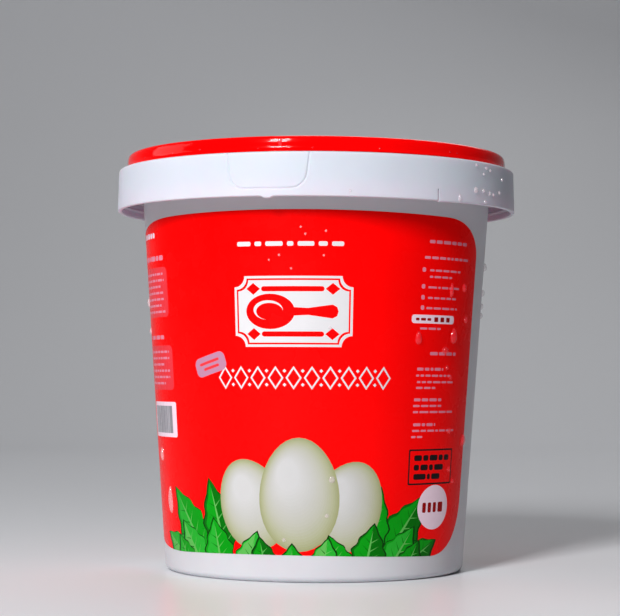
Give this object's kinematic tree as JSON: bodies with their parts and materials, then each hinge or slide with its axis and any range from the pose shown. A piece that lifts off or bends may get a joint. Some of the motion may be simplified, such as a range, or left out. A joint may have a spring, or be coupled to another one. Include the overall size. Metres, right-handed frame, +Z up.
{
  "type": "mayonnaise tub",
  "caption": "Tapered round plastic food tub, shut by a press-on lid with a tall skirt, tear tab and raised stacking rim, with two printed labels set flush in its wall.",
  "frame": {"origin": "centre of the foot ring, on the surface that the tub stands on", "axes": "+Z up along the tub's axis, -Y toward the viewer of the front, +X to that viewer's right"},
  "size_m": [0.1242, 0.1242, 0.1282],
  "materials": {
    "tub_white": "smooth moulded polypropylene, softly glossy",
    "label_red": "glossy printed film moulded into the wall",
    "lid_white": "smooth moulded polypropylene, softly glossy",
    "lid_red": "glossy red plastic"
  },
  "bodies": {
    "root": {"tub": "tub_white", "label": "label_red", "label_back": "label_red", "lid": "lid_white", "lid_top": "lid_red"}
  },
  "joints": []
}
